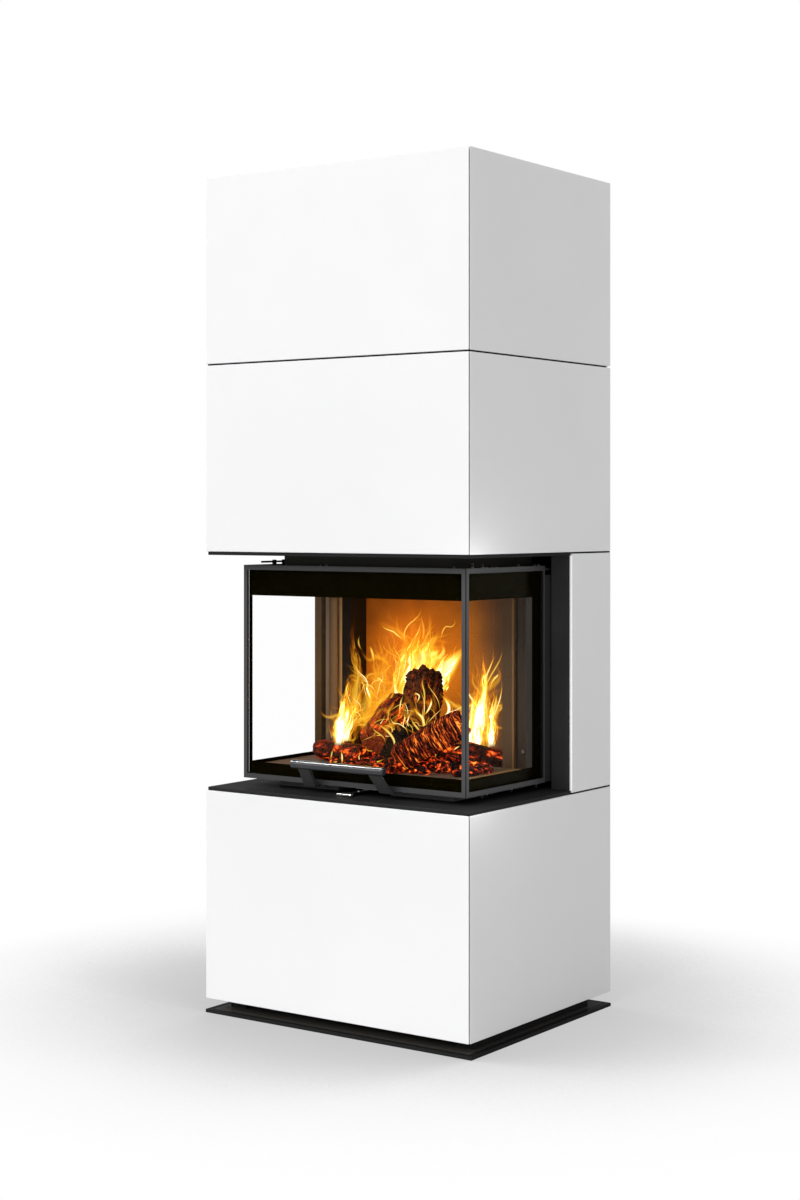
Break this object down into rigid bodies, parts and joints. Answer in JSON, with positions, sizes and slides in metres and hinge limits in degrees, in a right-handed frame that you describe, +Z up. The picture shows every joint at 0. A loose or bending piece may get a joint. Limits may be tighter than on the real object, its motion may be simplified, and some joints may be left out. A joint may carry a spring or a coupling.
{
  "type": "fireplace",
  "caption": "Free-standing wood fireplace with a three-sided glass door that lifts into white cladding, a black shelf and base plate and an air lever.",
  "frame": {"origin": "on the floor under the middle of the base plate", "axes": "+Z up; the glass front faces -Y; +X to the right of someone facing the door"},
  "size_m": [0.756, 0.616, 1.9796],
  "materials": {
    "white_panel": "satin",
    "black_steel": "satin",
    "door_steel": "satin",
    "clear_glass": "gloss",
    "chamotte": "matte",
    "raw_steel": "satin",
    "cast_weight": "matte",
    "seal_rope": "matte",
    "polished_steel": "polished",
    "firewood": "matte"
  },
  "bodies": {
    "stove": {"base_plate": "black_steel", "stand_left": "black_steel", "stand_right": "black_steel", "lower_front_panel": "white_panel", "lower_left_panel": "white_panel", "lower_right_panel": "white_panel", "lower_back_panel": "white_panel", "shelf_plate": "black_steel", "firebox_base": "black_steel", "hearth_floor": "chamotte", "firebox_back": "black_steel", "back_brick_center": "chamotte", "back_brick_left": "chamotte", "back_brick_right": "chamotte", "side_brick_left": "chamotte", "side_brick_right": "chamotte", "firebox_post_left": "black_steel", "firebox_post_right": "black_steel", "seal_frame": "black_steel", "baffle": "chamotte", "hood": "black_steel", "flue_collar": "black_steel", "flue_pipe": "raw_steel", "underplate": "black_steel", "middle_front_panel": "white_panel", "middle_left_panel": "white_panel", "middle_right_panel": "white_panel", "joint_frame": "black_steel", "upper_front_panel": "white_panel", "upper_left_panel": "white_panel", "upper_right_panel": "white_panel", "upper_back_panel": "white_panel", "top_cover": "black_steel", "rear_side_left": "white_panel", "rear_side_right": "white_panel", "black_cover_left": "black_steel", "black_cover_right": "black_steel", "guide_rail_left": "black_steel", "guide_rail_right": "black_steel", "rear_post_left": "black_steel", "rear_post_right": "black_steel", "cable_left": "raw_steel", "cable_right": "raw_steel", "log_center": "firewood", "log_left": "firewood", "log_right": "firewood"},
    "door": {"door_frame": "door_steel", "front_glass": "clear_glass", "left_glass": "clear_glass", "right_glass": "clear_glass", "door_seal": "seal_rope", "handle_bar": "door_steel", "handle_bracket_left": "door_steel", "handle_bracket_right": "door_steel"},
    "counterweight_left": {"counterweight_left": "cast_weight"},
    "counterweight_right": {"counterweight_right": "cast_weight"},
    "pulley_left": {"pulley_left": "raw_steel"},
    "pulley_right": {"pulley_right": "raw_steel"},
    "air_control": {"air_lever": "polished_steel", "air_slider": "raw_steel"}
  },
  "joints": [
    {"name": "door_lift", "type": "slide", "parent": "stove", "child": "door", "axis": [0, 0, 1], "range_m": [0, 0.45], "deforming": ["cable_left", "cable_right"]},
    {"name": "counterweight_left_slide", "type": "slide", "parent": "stove", "child": "counterweight_left", "axis": [0, 0, 1], "range_m": [-0.45, 0]},
    {"name": "counterweight_right_slide", "type": "slide", "parent": "stove", "child": "counterweight_right", "axis": [0, 0, 1], "range_m": [-0.45, 0]},
    {"name": "pulley_left_spin", "type": "hinge", "parent": "stove", "child": "pulley_left", "pos_m": [-0.3115, 0.1775, 1.8863], "axis": [1, 0, 0], "range_deg": [-700, 0]},
    {"name": "pulley_right_spin", "type": "hinge", "parent": "stove", "child": "pulley_right", "pos_m": [0.3115, 0.1775, 1.8863], "axis": [1, 0, 0], "range_deg": [-700, 0]},
    {"name": "air_slide", "type": "slide", "parent": "stove", "child": "air_control", "axis": [1, 0, 0], "range_m": [-0.04, 0.04]}
  ],
  "couplings": [
    {"joint": "counterweight_left_slide", "follows": "door_lift", "ratio": -1},
    {"joint": "counterweight_right_slide", "follows": "door_lift", "ratio": -1},
    {"joint": "pulley_left_spin", "follows": "door_lift", "rad_per_m": -26.667},
    {"joint": "pulley_right_spin", "follows": "door_lift", "rad_per_m": -26.667}
  ]
}
